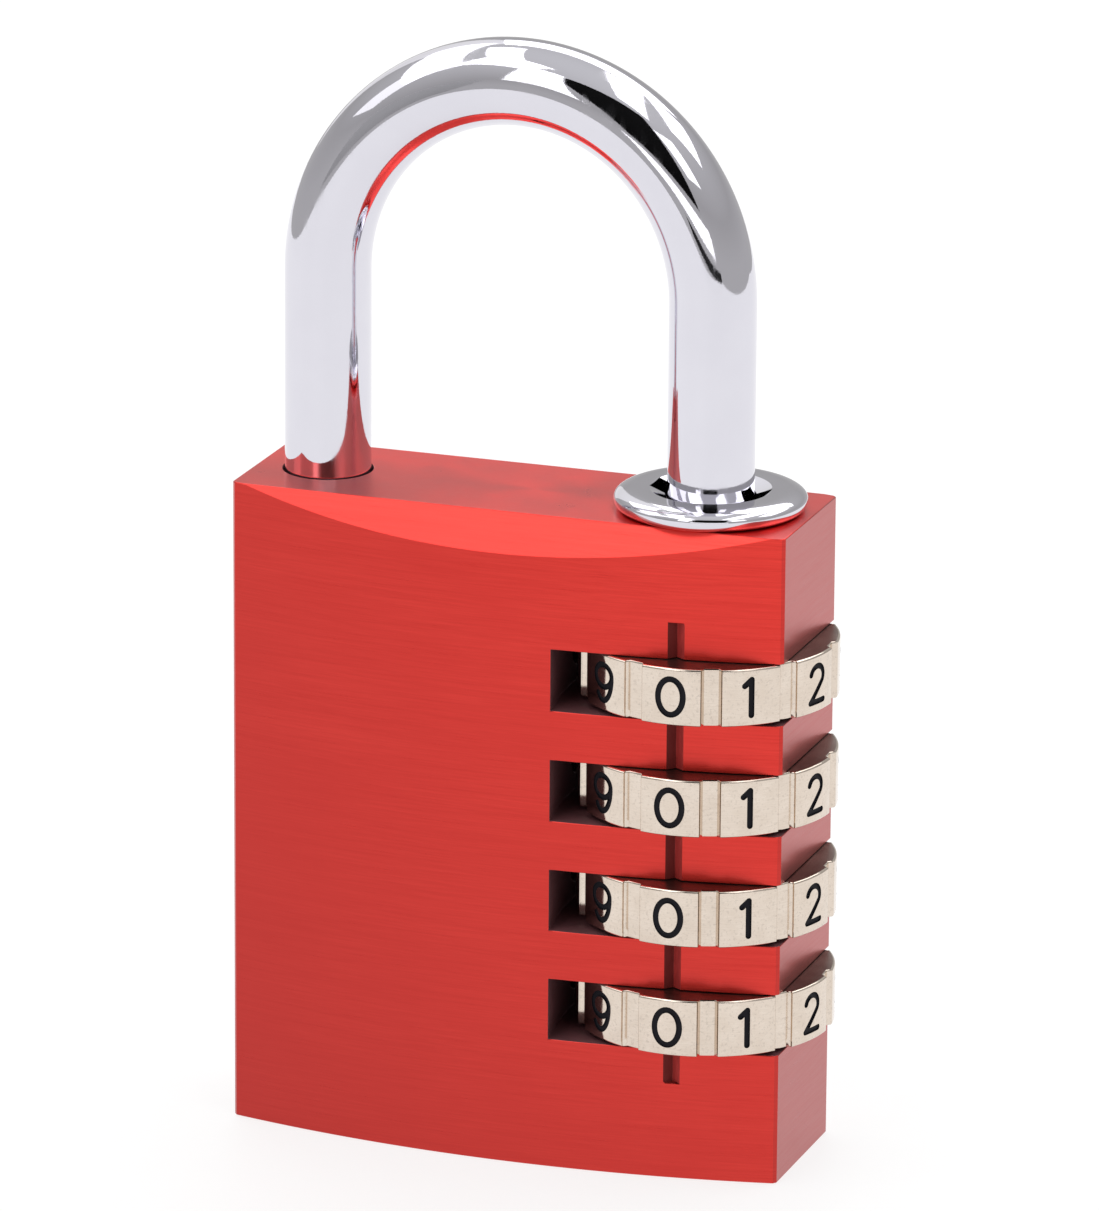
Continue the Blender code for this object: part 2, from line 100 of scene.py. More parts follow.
# Read from the frame
BODY_LOW, BODY_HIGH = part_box("lock_body")
COLLAR_LOW, COLLAR_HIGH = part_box("shackle_collar")
BOW_LOW, BOW_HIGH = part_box("shackle")
PLUG_LOW, PLUG_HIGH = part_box("base_plug")
DIAL_NAMES = sorted(name for name in frame["bodies"] if name.startswith("dial_"))
WHEEL_BOXES = [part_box(name.replace("dial_", "dial_wheel_")) for name in DIAL_NAMES]
WHEEL_LOW, WHEEL_HIGH = WHEEL_BOXES[0]
DIAL_Z = [(low.z + high.z) / 2 for low, high in WHEEL_BOXES]
HEEL_X = next(joint["pos_m"][0] for joint in frame["joints"] if joint["name"] == "dial_1_turn")
ROD_RADIUS = BOW_HIGH.x - HEEL_X
TOE_X = BOW_LOW.x + ROD_RADIUS
BODY_TOP = BODY_HIGH.z
BODY_SIDE = BODY_HIGH.x
COLLAR_RADIUS = COLLAR_HIGH.x - HEEL_X
PLUG_RADIUS = (PLUG_HIGH.x - PLUG_LOW.x) / 2

# Body
BODY_EDGE_DEPTH = 11.4 * MM
BODY_BULGE = BODY_HIGH.y - BODY_EDGE_DEPTH / 2
BODY_CORNER = 0.2 * MM
CREST_DROP = 2.4 * MM
CREST_START = 0.2 * MM
EDGE_BREAK = 0.06 * MM  # width of the small bevel on every cut edge
EDGE_BREAK_DEG = 46  # the least turn between two faces that gets the bevel
BULGE_RADIUS = (BODY_SIDE**2 + BODY_BULGE**2) / (2 * BODY_BULGE)

# Slots, index line and bores
SLOT_HEIGHT = 4.36 * MM
SLOT_END_X = 3.3 * MM
SLOT_SAW_RADIUS = 40.0 * MM
INDEX_WIDTH = 1.15 * MM
INDEX_DEPTH = 0.5 * MM
INDEX_BOTTOM_Z = 6.9 * MM
INDEX_TOP_Z = 39.9 * MM
MAIN_BORE_RADIUS = 5.55 * MM
SPIGOT_BORE_RADIUS = 5.05 * MM
LEDGE_RADIUS = 4.2 * MM
LEDGE_BOTTOM_Z = 39.115 * MM
LEDGE_TOP_Z = 41.415 * MM
TOE_HOLE_RADIUS = 3.15 * MM
TOE_HOLE_DEPTH = 6.0 * MM
BALL_HOLE_RADIUS = 1.1 * MM
BALL_HOLE_END_X = -0.6 * MM
# The cuts' finish is painted near black, standing in for the shade inside the slots and bores.
CUT_SHADE_FINISH = 1  # of the body's finishes
LINE_FINISH = 2

# Bow
BEND_Z = 60.5 * MM
BEND_RISE = BOW_HIGH.z - ROD_RADIUS - BEND_Z
ROD_TIP = 0.8 * MM
TOE_TIP_Z = BODY_TOP - 5.0 * MM
SHANK_RADIUS = 2.1 * MM
SHANK_TOP_Z = 36.37 * MM
PILOT_RADIUS = 1.1 * MM
PILOT_LENGTH = 1.0 * MM
SHANK_BOTTOM_Z = BOW_LOW.z + PILOT_LENGTH
FIN_RADIUS = BOW_HIGH.y
FIN_WIDTH = 1.7 * MM
FIN_HEIGHT = 2.0 * MM
FIN_DROP = 1.2 * MM  # from a dial's middle down to the top of its fins

# Collar
COLLAR_GAP = 0.02 * MM  # between the collar's foot and the body's top
COLLAR_FLAT_RADIUS = 5.25 * MM
COLLAR_FOOT_RADIUS = 6.1 * MM
COLLAR_SINK_RADIUS = 4.2 * MM
COLLAR_SINK_DEPTH = 0.45 * MM
COLLAR_NOTCH_WIDTH = 2.1 * MM
COLLAR_NOTCH_REACH = 4.07 * MM
SPIGOT_RADIUS = 5.0 * MM
GUIDE_RADIUS = 3.1 * MM
SMALL_ROUND = 0.12 * MM

# Dial wheels
DIGIT_COUNT = 10
DIGIT_STEP_DEG = 360 / DIGIT_COUNT
DIAL_RADIUS = round((WHEEL_HIGH.y - WHEEL_LOW.y) / 2, 4)
DIAL_SLACK = 0.06 * MM  # how much thinner a wheel is than its frame node
DIAL_HEIGHT = WHEEL_HIGH.z - WHEEL_LOW.z - DIAL_SLACK
DIAL_PLAY_DEG = 1.7  # how far past the index line the dials have been left
DIAL_LIFT = 0.12 * MM  # the hub spring holds the dials up in their slots
LAND_DEG = 26.6
LAND_EDGE = 0.16 * MM
GROOVE_FLOOR_DEG = 6.6
GROOVE_DEPTH = 0.36 * MM
GROOVE_LINE_DEG = 0.4  # a fine scored line along each side of a groove
GROOVE_LINE_DEPTH = 0.16 * MM
DIGIT_HEIGHT = 2.94 * MM
DIGIT_STROKE = 0.42 * MM
DIGIT_DEPTH = 0.14 * MM
NUMERAL_FINISH = 1  # of the wheels' finishes
END_FINISH = 2

# Plug and springs
PLUG_EDGE = 0.3 * MM
PLUG_RINGS = 10  # turned rings, inside a plain rim two rings wide
PLUG_RING_DEPTH = 0.05 * MM
HUB_WIRE = 0.7 * MM
HUB_TURNS = 3
LIFT_WIRE = 0.5 * MM
LIFT_TURNS = 5
CLICK_WIRE = 0.25 * MM
CLICK_TURNS = 4

# Camera, turned and tilted round a point on the lock's middle line
VIEW_AZIMUTH = 19.53
VIEW_ELEVATION = 16.74
VIEW_ROLL = 0.368
VIEW_DISTANCE = 647.65 * MM
VIEW_HEIGHT = 38.0 * MM
LENS_MM = 279.5
SENSOR_MM = 36.0
SHIFT_X = 0.0135
SHIFT_Y = -0.002

# Studio
TABLE_HALF = 0.42
TABLE_GAP = 0.05 * MM
FLOOR_GLOW = 0.785
LIGHT_DISTANCE = 0.8
# distance of the dark strip that stands in for the table edge's shadow
SHADOW_STRIP_DISTANCE = 0.45


# ---------------------------------------------------------------- materials


class Nodes:
    """Short calls for building one material's node tree. A value may be a number or another node's socket."""

    def __init__(self, name):
        self.material = bpy.data.materials.new(name)
        self.material.use_nodes = True
        self.tree = self.material.node_tree
        self.shader = self.tree.nodes["Principled BSDF"]

    def new(self, kind, **settings):
        node = self.tree.nodes.new(kind)
        for key, value in settings.items():
            setattr(node, key, value)
        return node

    def link(self, source, target):
        self.tree.links.new(source, target)

    def give(self, target, value):
        if isinstance(value, bpy.types.NodeSocket):
            self.link(value, target)
        else:
            target.default_value = value

    def math(self, operation, *values):
        node = self.new("ShaderNodeMath", operation=operation)
        for target, value in zip(node.inputs, values):
            self.give(target, value)
        return node.outputs["Value"]

    def part(self, vector, axis):
        split = self.new("ShaderNodeSeparateXYZ")
        self.link(vector, split.inputs["Vector"])
        return split.outputs[axis]

    def position(self, axis):
        """One of the object's own coordinates, in metres."""
        return self.part(self.new("ShaderNodeTexCoord").outputs["Object"], axis)

    def normal(self, axis):
        """The share of the face's normal along an axis, from -1 to 1."""
        return self.part(self.new("ShaderNodeNewGeometry").outputs["True Normal"], axis)

    def facing(self, axis, least):
        """1 where the face looks along the axis, either way, down to 0 where the share falls to the least."""
        return self.spread(self.math("ABSOLUTE", self.normal(axis)), 0.0, 1.0, least, 1.0)

    def place(self, scale):
        """The object's coordinates in millimetres, times a scale for each axis."""
        coordinates = self.new("ShaderNodeTexCoord")
        mapping = self.new("ShaderNodeMapping")
        mapping.inputs["Scale"].default_value = [value / MM for value in scale]
        self.link(coordinates.outputs["Object"], mapping.inputs["Vector"])
        return mapping.outputs["Vector"]

    def around(self, centre_x, across, along):
        """Cylinder coordinates round an upright axis: streaks that run round a turned piece."""
        x = self.math("SUBTRACT", self.position("X"), centre_x)
        y = self.position("Y")
        radius = self.math("SQRT", self.math("MULTIPLY_ADD", x, x, self.math("MULTIPLY", y, y)))
        turn = self.math("MULTIPLY", self.math("ARCTAN2", y, x), along * MM)
        joined = self.new("ShaderNodeCombineXYZ")
        for target, value in zip(joined.inputs, (radius, turn, self.position("Z"))):
            self.link(value, target)
        scale = self.new("ShaderNodeVectorMath", operation="SCALE")
        scale.inputs["Scale"].default_value = across / MM
        self.link(joined.outputs["Vector"], scale.inputs[0])
        return scale.outputs["Vector"]

    def noise(self, place, detail=3.0, roughness=0.55, distortion=0.0):
        node = self.new("ShaderNodeTexNoise")
        settings = {"Scale": 1.0, "Detail": detail, "Roughness": roughness, "Distortion": distortion}
        for name, value in settings.items():
            node.inputs[name].default_value = value
        self.link(place, node.inputs["Vector"])
        return node.outputs["Fac"]

    def spread(self, value, low, high, from_low=0.3, from_high=0.7):
        """Stretches a range, by default that of a noise, to the range low to high."""
        node = self.new("ShaderNodeMapRange")
        settings = {"From Min": from_low, "From Max": from_high, "To Min": low, "To Max": high}
        for name, number in settings.items():
            node.inputs[name].default_value = number
        self.link(value, node.inputs["Value"])
        return node.outputs["Result"]

    def blend(self, share, first, second):
        """A colour between two colours, each a tuple or a socket."""
        node = self.new("ShaderNodeMix", data_type="RGBA")
        targets = [target for target in node.inputs if target.type == "RGBA"]
        for target, colour in zip(targets, (first, second)):
            self.give(target, (*colour, 1.0) if isinstance(colour, tuple) else colour)
        self.link(share, node.inputs[0])
        return next(made for made in node.outputs if made.type == "RGBA")

    def sum(self, first, second, share=1.0):
        """The first value plus a share of the second."""
        return self.math("MULTIPLY_ADD", second, share, first)

    def bump(self, height, depth):
        """Relief of the given depth in metres."""
        node = self.new("ShaderNodeBump")
        node.inputs["Strength"].default_value = 1.0
        node.inputs["Distance"].default_value = depth
        self.link(height, node.inputs["Height"])
        self.feed("Normal", node.outputs["Normal"])

    def feed(self, name, source):
        self.link(source, self.shader.inputs[name])

    def fix(self, **values):
        """Sets constants on the shader's own sockets, such as coat_ior for "Coat IOR"."""
        for name, value in values.items():
            self.shader.inputs[name.replace("_", " ").title().replace("Ior", "IOR")].default_value = value


def scratches(nodes, scale):
    """Sparse hairline scratches: thin crests of a long, stretched noise."""
    crest = nodes.noise(nodes.place(scale), detail=1.0, distortion=0.4)
    return nodes.spread(crest, 0.0, 1.0, 0.56, 0.6)


def red_anodised():
    """Dyed aluminium under a clear oxide skin, brushed along the width. Painted shade darkens the narrow
    sides and the colour towards the bottom and the left, and painted light brightens the level faces, top and
    bottom."""
    nodes = Nodes("red_anodised")
    fine = nodes.noise(nodes.place((0.22, 0.22, 8.0)), detail=4.0, roughness=0.7)
    broad = nodes.noise(nodes.place((0.03, 0.03, 2.2)), detail=2.0)
    cloud = nodes.noise(nodes.place((0.10, 0.10, 0.16)), detail=2.0)
    streak = nodes.spread(nodes.sum(fine, broad, 0.25), 0.0, 1.0, 0.42, 0.83)
    streaked = nodes.blend(streak, (0.69, 0.029, 0.020), (0.87, 0.051, 0.037))
    clouded = nodes.blend(nodes.spread(cloud, 0.0, 0.4), streaked, (0.72, 0.031, 0.023))
    # Painted shade: the red darkens towards the bottom and the left, where less light falls.
    height = nodes.spread(nodes.position("Z"), 0.0, 1.0, BODY_LOW.z, BODY_HIGH.z)
    width = nodes.spread(nodes.position("X"), 0.0, 1.0, BODY_LOW.x, BODY_HIGH.x)
    low_left_shade = nodes.spread(nodes.sum(height, width), 0.68, 0.0, 0.0, 2.0)
    low_left_shaded = nodes.blend(low_left_shade, clouded, (0.36, 0.028, 0.025))
    # Painted shade on the narrow sides, the faces that look along X.
    side = nodes.spread(nodes.facing("X", 0.6), 0.0, 0.7, 0.0, 1.0)
    side_shaded = nodes.blend(side, low_left_shaded, (0.30, 0.02, 0.018))
    # Painted light: the level faces, top and bottom, take a lighter red.
    nodes.feed("Base Color", nodes.blend(nodes.facing("Z", 0.9), side_shaded, (0.88, 0.055, 0.045)))
    nodes.feed("Roughness", nodes.spread(fine, 0.27, 0.36))
    nodes.bump(nodes.sum(fine, scratches(nodes, (0.3, 0.3, 3.5)), 0.15), 0.0012 * MM)
    nodes.fix(metallic=1.0, coat_weight=0.35, coat_roughness=0.2, coat_ior=1.5)
    nodes.fix(anisotropic=0.4, anisotropic_rotation=0.25)
    tangent = nodes.new("ShaderNodeTangent", direction_type="RADIAL", axis="Z")
    nodes.feed("Tangent", tangent.outputs["Tangent"])
    return nodes.material


def dull_paint(nodes, grain, depth, roughness=(0.5, 0.7), specular=0.15):
    """The matt finish that the cut faces and the numerals share."""
    nodes.feed("Roughness", nodes.spread(grain, *roughness))
    nodes.bump(grain, depth)
    nodes.fix(specular_ior_level=specular)
    return nodes.material


def sawn_red():
    """The sawn slots and the bores, painted a nearly black red for the shade inside them."""
    nodes = Nodes("sawn_red")
    saw = nodes.noise(nodes.place((0.6, 0.6, 9.0)), detail=3.0)
    nodes.feed("Base Color", nodes.blend(saw, (0.10, 0.042, 0.047), (0.20, 0.078, 0.087)))
    return dull_paint(nodes, saw, 0.006 * MM)


def index_red():
    """The scribed index line: deep red, with painted shade on its left flank, the flank that faces +X."""
    nodes = Nodes("index_red")
    grain = nodes.noise(nodes.place((4.0, 4.0, 1.0)), detail=3.0)
    # Painted shade: the flank that faces +X is coloured darker.
    flank = nodes.spread(nodes.normal("X"), 0.0, 1.0, -0.2, 0.2)
    deep = nodes.blend(flank, (0.46, 0.042, 0.038), (0.17, 0.020, 0.018))
    nodes.feed("Base Color", nodes.blend(nodes.spread(grain, 0.0, 0.3), deep, (0.12, 0.012, 0.011)))
    return dull_paint(nodes, grain, 0.004 * MM)


def numeral_paint():
    """Black enamel, wiped into the engraved numerals."""
    nodes = Nodes("numeral_paint")
    grain = nodes.noise(nodes.place((6.0, 6.0, 6.0)), detail=3.0)
    nodes.feed("Base Color", nodes.blend(grain, (0.006, 0.006, 0.009), (0.016, 0.015, 0.02)))
    return dull_paint(nodes, grain, 0.004 * MM, roughness=(0.45, 0.65), specular=0.12)


def chrome():
    """Mirror plate over polished steel, with handling hairlines and a faint cloudiness."""
    nodes = Nodes("chrome_plate")
    cloud = nodes.noise(nodes.place((0.25, 0.25, 0.25)), detail=3.0)
    grain = nodes.noise(nodes.place((9.0, 9.0, 9.0)), detail=2.0)
    hair = scratches(nodes, (1.2, 1.2, 0.18))
    nodes.feed("Base Color", nodes.blend(cloud, (0.70, 0.69, 0.755), (0.75, 0.74, 0.80)))
    nodes.feed("Roughness", nodes.sum(nodes.spread(cloud, 0.02, 0.05), hair, 0.05))
    nodes.bump(nodes.sum(grain, hair, 0.6), 0.0006 * MM)
    nodes.fix(metallic=1.0)
    return nodes.material


def nickel():
    """Satin nickel on the dial wheels, brushed round them, with stains and specks of wear."""
    nodes = Nodes("satin_nickel")
    fine = nodes.noise(nodes.around(HEEL_X, 16.0, 0.6), detail=4.0, roughness=0.6)
    stain = nodes.noise(nodes.place((0.7, 0.7, 0.7)), detail=4.0)
    speck = nodes.noise(nodes.place((5.0, 5.0, 5.0)), detail=2.0)
    light = nodes.blend(nodes.spread(fine, 0.0, 1.0), (0.72, 0.62, 0.53), (0.80, 0.705, 0.615))
    stained = nodes.blend(nodes.spread(stain, 0.0, 0.45), light, (0.64, 0.54, 0.45))
    speckled = nodes.blend(nodes.spread(speck, 0.0, 0.35, 0.55, 0.72), stained, (0.44, 0.37, 0.32))
    nodes.feed("Base Color", speckled)
    nodes.feed("Roughness", nodes.spread(fine, 0.06, 0.11))
    nodes.bump(nodes.sum(fine, speck, 0.5), 0.0015 * MM)
    nodes.fix(metallic=1.0)
    return nodes.material


def turned_metal(name, dark, light, roughness):
    """A machined metal with fine turning marks round the heel's axis."""
    nodes = Nodes(name)
    marks = nodes.noise(nodes.around(HEEL_X, 12.0, 0.5), detail=3.0)
    tarnish = nodes.noise(nodes.place((0.5, 0.5, 0.5)), detail=3.0)
    nodes.feed("Base Color", nodes.blend(nodes.spread(tarnish, 0.0, 1.0), dark, light))
    nodes.feed("Roughness", nodes.spread(marks, *roughness))
    nodes.bump(marks, 0.004 * MM)
    nodes.fix(metallic=1.0)
    return nodes.material


def drawn_wire():
    """Oil-dark spring steel."""
    nodes = Nodes("drawn_wire")
    grain = nodes.noise(nodes.place((2.0, 2.0, 2.0)), detail=4.0)
    nodes.feed("Base Color", nodes.blend(grain, (0.30, 0.30, 0.31), (0.52, 0.52, 0.53)))
    nodes.feed("Roughness", nodes.spread(grain, 0.25, 0.45))
    nodes.bump(grain, 0.003 * MM)
    nodes.fix(metallic=1.0)
    return nodes.material


# ---------------------------------------------------------------- mesh helpers


def link_object(name, data):
    obj = bpy.data.objects.new(name, data)
    bpy.context.scene.collection.objects.link(obj)
    return obj


def smooth(mesh, degrees):
    """Shades the mesh smooth, but for edges that turn further."""
    mesh.shade_smooth()
    mesh.set_sharp_from_angle(angle=math.radians(degrees))


def mesh_object(name, bm, finishes=(), smooth_deg=35):
    bmesh.ops.remove_doubles(bm, verts=bm.verts, dist=WELD)
    bmesh.ops.recalc_face_normals(bm, faces=bm.faces)
    mesh = bpy.data.meshes.new(name)
    bm.to_mesh(mesh)
    bm.free()
    for finish in finishes:
        mesh.materials.append(finish)
    smooth(mesh, smooth_deg)
    return link_object(name, mesh)


def cutter(name, bm, finish_index=0):
    """A solid that only cuts. The faces that it leaves take the cut piece's finish of that index."""
    for face in bm.faces:
        face.material_index = finish_index
    return mesh_object(name, bm)


def combine(obj, others, operation="DIFFERENCE", smooth_deg=35, use_self=False):
    """Cuts or joins the other objects, applies the result and removes them."""
    for other in others:
        modifier = obj.modifiers.new(other.name, "BOOLEAN")
        modifier.operation = operation
        modifier.solver = "EXACT"
        modifier.use_self = use_self
        modifier.object = other
    depsgraph = bpy.context.evaluated_depsgraph_get()
    made = bpy.data.meshes.new_from_object(obj.evaluated_get(depsgraph), depsgraph=depsgraph)
    obj.modifiers.clear()
    obj.data = made
    smooth(made, smooth_deg)
    for other in others:
        bpy.data.objects.remove(other)


def soften(obj):
    """Breaks the sharp edges and keeps the big faces' shading flat."""
    bevel = obj.modifiers.new("edge_break", "BEVEL")
    bevel.width = EDGE_BREAK
    bevel.segments = 2
    bevel.limit_method = "ANGLE"
    bevel.angle_limit = math.radians(EDGE_BREAK_DEG)
    bevel.use_clamp_overlap = False
    normals = obj.modifiers.new("even_shading", "WEIGHTED_NORMAL")
    normals.keep_sharp = True


def settle(obj, body, stands_for):
    """Puts a finished piece on its body, in the place of its frame node."""
    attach(obj, body)
    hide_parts(stands_for)


def polar(radius, degrees):
    angle = math.radians(degrees)
    return (radius * math.cos(angle), radius * math.sin(angle))


def arc(centre, radius, start_deg, end_deg, steps):
    """Points of an arc, both ends included. The radius may be a pair, for an ellipse."""
    across, up = radius if isinstance(radius, tuple) else (radius, radius)
    for i in range(steps + 1):
        angle = math.radians(start_deg + (end_deg - start_deg) * i / steps)
        yield (centre[0] + across * math.cos(angle), centre[1] + up * math.sin(angle))


def add_prism(bm, outline, bottom, top):
    face = bm.faces.new([bm.verts.new((x, y, bottom)) for x, y in outline])
    grown = bmesh.ops.extrude_face_region(bm, geom=[face])
    lifted = [v for v in grown["geom"] if isinstance(v, bmesh.types.BMVert)]
    bmesh.ops.translate(bm, verts=lifted, vec=(0, 0, top - bottom))


def prism(outline, bottom, top):
    bm = bmesh.new()
    add_prism(bm, outline, bottom, top)
    return bm


def add_ring(bm, points):
    return [bm.verts.new(point) for point in points]


def join_rings(bm, rings):
    """Faces between neighbouring rings of points."""
    count = len(rings[0])
    for lower, upper in zip(rings, rings[1:]):
        for k in range(count):
            after = (k + 1) % count
            bm.faces.new((lower[k], lower[after], upper[after], upper[k]))


def add_rod(bm, rings):
    """A solid through rings of points, with flat ends."""
    join_rings(bm, rings)
    bm.faces.new(rings[0])
    bm.faces.new(rings[-1])


def turned(profile, centre_x, steps=96):
    """The profile of (radius, height) points turned round an upright axis. It is a closed loop, or it runs
    from the axis to the axis."""
    bm = bmesh.new()
    turns = [360 * k / steps for k in range(steps)]
    off_axis = [(radius, height) for radius, height in profile if radius > 0]
    rings = [add_ring(bm, [(*polar(radius, turn), height) for turn in turns]) for radius, height in off_axis]
    if profile[0][0] == 0:
        add_rod(bm, rings)
    else:
        join_rings(bm, rings + rings[:1])
    bmesh.ops.translate(bm, verts=bm.verts, vec=(centre_x, 0, 0))
    return bm


def rounded(corner, before, after, radius, steps=4):
    """Points of a fillet at a profile's corner, between the points before and after it."""
    corner, before, after = Vector(corner), Vector(before), Vector(after)
    back = (before - corner).normalized()
    on = (after - corner).normalized()
    half = back.angle(on) / 2
    reach = radius / math.tan(half)
    centre = corner + (back + on).normalized() * radius / math.sin(half)
    start, end = corner + back * reach - centre, corner + on * reach - centre
    for i in range(steps + 1):
        mixed = (start * (1 - i / steps) + end * (i / steps)).normalized() * radius
        yield tuple(centre + mixed)


# ---------------------------------------------------------------- body


def half_depth(x):
    return BODY_EDGE_DEPTH / 2 + BODY_BULGE - (BULGE_RADIUS - math.sqrt(BULGE_RADIUS**2 - x * x))


def body_outline(steps=80):
    reach = BODY_SIDE - BODY_CORNER
    xs = [reach - 2 * reach * i / steps for i in range(steps + 1)]
    back = [(x, half_depth(x)) for x in xs]
    corner_y = BODY_EDGE_DEPTH / 2 - BODY_CORNER
    left = [(-BODY_SIDE, corner_y), (-BODY_SIDE, -corner_y)]
    return back + left + [(-x, -y) for x, y in back + left]


def crest_cutter():
    """Wedges that take the flat crescents off the front and back top edges."""
    bm = bmesh.new()
    start = BODY_EDGE_DEPTH / 2 + CREST_START
    run = BODY_BULGE - CREST_START
    slope = CREST_DROP / run
    reach = run + PAST
    for sign in (-1, 1):
        section = [
            (sign * (start - PAST), BODY_TOP + PAST * slope),
            (sign * (start + reach), BODY_TOP - reach * slope),
            (sign * (start + reach), BODY_TOP + PAST * slope),
        ]
        ends = (-BODY_SIDE - PAST, BODY_SIDE + PAST)
        add_rod(bm, [add_ring(bm, [(x, y, z) for y, z in section]) for x in ends])
    return cutter("crest_cutter", bm)


def slot_cutter():
    """The four dial slots, open to the right, with the round end that a saw leaves."""
    spread = math.degrees(math.asin((BODY_HIGH.y + PAST) / SLOT_SAW_RADIUS))
    end = list(arc((SLOT_END_X + SLOT_SAW_RADIUS, 0), SLOT_SAW_RADIUS, 180 - spread, 180 + spread, 24))
    open_x = BODY_SIDE + PAST
    outline = [*end, (open_x, end[-1][1]), (open_x, end[0][1])]
    bm = bmesh.new()
    for z in DIAL_Z:
        add_prism(bm, outline, z - SLOT_HEIGHT / 2, z + SLOT_HEIGHT / 2)
    return cutter("slot_cutter", bm, CUT_SHADE_FINISH)


def index_cutter():
    """The V of the index line, square to the surface where it runs."""
    left, right = (Vector((x, -half_depth(x))) for x in (HEEL_X - INDEX_WIDTH / 2, HEEL_X + INDEX_WIDTH / 2))
    inward = (right - left).normalized().orthogonal()
    bottom = (left + right) / 2 + inward * INDEX_DEPTH
    outline = [bottom, bottom + 2 * (left - bottom), bottom + 2 * (right - bottom)]
    return cutter("index_cutter", prism(outline, INDEX_BOTTOM_Z, INDEX_TOP_Z), LINE_FINISH)


def heel_bore_cutter():
    """The spigot's bore, the ledge that the hub spring pushes on, and the main bore."""
    profile = [
        (0, BODY_TOP + PAST),
        (SPIGOT_BORE_RADIUS, BODY_TOP + PAST),
        (SPIGOT_BORE_RADIUS, LEDGE_TOP_Z),
        (LEDGE_RADIUS, LEDGE_TOP_Z),
        (LEDGE_RADIUS, LEDGE_BOTTOM_Z),
        (MAIN_BORE_RADIUS, LEDGE_BOTTOM_Z),
        (MAIN_BORE_RADIUS, BODY_LOW.z - PAST),
        (0, BODY_LOW.z - PAST),
    ]
    return cutter("heel_bore_cutter", turned(profile, HEEL_X, 72), CUT_SHADE_FINISH)


def drill(name, radius, bottom, top, centre_x, steps):
    """A round cutter along an upright axis."""
    profile = [(0, top), (radius, top), (radius, bottom), (0, bottom)]
    return cutter(name, turned(profile, centre_x, steps), CUT_SHADE_FINISH)


def ball_hole_cutter(z):
    """The level hole of one click ball and its spring, drilled from the slot's end."""
    hole = drill("ball_hole_cutter", BALL_HOLE_RADIUS, 0, SLOT_END_X - BALL_HOLE_END_X + PAST, 0, 24)
    hole.data.transform(Matrix.Translation((BALL_HOLE_END_X, 0, z)) @ Matrix.Rotation(math.pi / 2, 4, "Y"))
    return hole


def make_body(finishes):
    """The block, sawn and bored. Its finishes are those of the outside, of the cuts, painted near black for
    the shade inside them, and of the index line.
    """
    body = mesh_object("anodised_block", prism(body_outline(), BODY_LOW.z, BODY_TOP), finishes)
    toe_hole_end = BODY_TOP - TOE_HOLE_DEPTH
    toe_hole = drill("toe_hole_cutter", TOE_HOLE_RADIUS, toe_hole_end, BODY_TOP + PAST, TOE_X, 72)
    cutters = [crest_cutter(), heel_bore_cutter(), slot_cutter(), index_cutter(), toe_hole]
    combine(body, cutters + [ball_hole_cutter(z) for z in DIAL_Z])
    soften(body)
    settle(body, "lock_body", "lock_body")


# ---------------------------------------------------------------- shackle and collar


def bow_stations(bend_steps=96):
    """(centre, direction, radius) all along the rod, from the toe's tip to the pilot's tip."""
    up, down = Vector((0, 0, 1)), Vector((0, 0, -1))
    for radius, rise in arc((ROD_RADIUS - ROD_TIP, ROD_TIP), ROD_TIP, -90, 0, 6):
        yield Vector((TOE_X, 0, TOE_TIP_Z + rise)), up, radius
    middle = (TOE_X + HEEL_X) / 2
    half_span = (HEEL_X - TOE_X) / 2
    for i in range(bend_steps + 1):
        angle = math.pi * (1 - i / bend_steps)
        cos, sin = math.cos(angle), math.sin(angle)
        centre = Vector((middle + half_span * cos, 0, BEND_Z + BEND_RISE * sin))
        yield centre, Vector((half_span * sin, 0, -BEND_RISE * cos)).normalized(), ROD_RADIUS
    heel = [
        (ROD_RADIUS, SHANK_TOP_Z + ROD_TIP),
        (SHANK_RADIUS, SHANK_TOP_Z),
        (SHANK_RADIUS, SHANK_BOTTOM_Z),
        (PILOT_RADIUS, SHANK_BOTTOM_Z),
        (PILOT_RADIUS, BOW_LOW.z),
    ]
    for radius, z in heel:
        yield Vector((HEEL_X, 0, z)), down, radius


def bow_fins():
    """A pair of fins, front and back, under the middle of each dial."""
    half_deg = math.degrees(math.asin(FIN_WIDTH / 2 / FIN_RADIUS))
    outline = []
    for side in (90, 270):
        outline += arc((HEEL_X, 0), FIN_RADIUS, side - half_deg, side + half_deg, 10)
    bm = bmesh.new()
    for z in DIAL_Z:
        add_prism(bm, outline, z - FIN_DROP - FIN_HEIGHT, z - FIN_DROP)
    return mesh_object("bow_fins", bm)


def make_bow(finish, sides=72):
    bm = bmesh.new()
    across = Vector((0, 1, 0))
    turns = [math.tau * k / sides for k in range(sides)]
    rings = []
    for centre, direction, radius in bow_stations():
        outward = across.cross(direction)
        spokes = [outward * math.cos(turn) + across * math.sin(turn) for turn in turns]
        rings.append(add_ring(bm, [centre + radius * spoke for spoke in spokes]))
    add_rod(bm, rings)
    bow = mesh_object("chrome_bow", bm, [finish], smooth_deg=25)
    combine(bow, [bow_fins()], "UNION", smooth_deg=25)
    settle(bow, "shackle", "shackle")


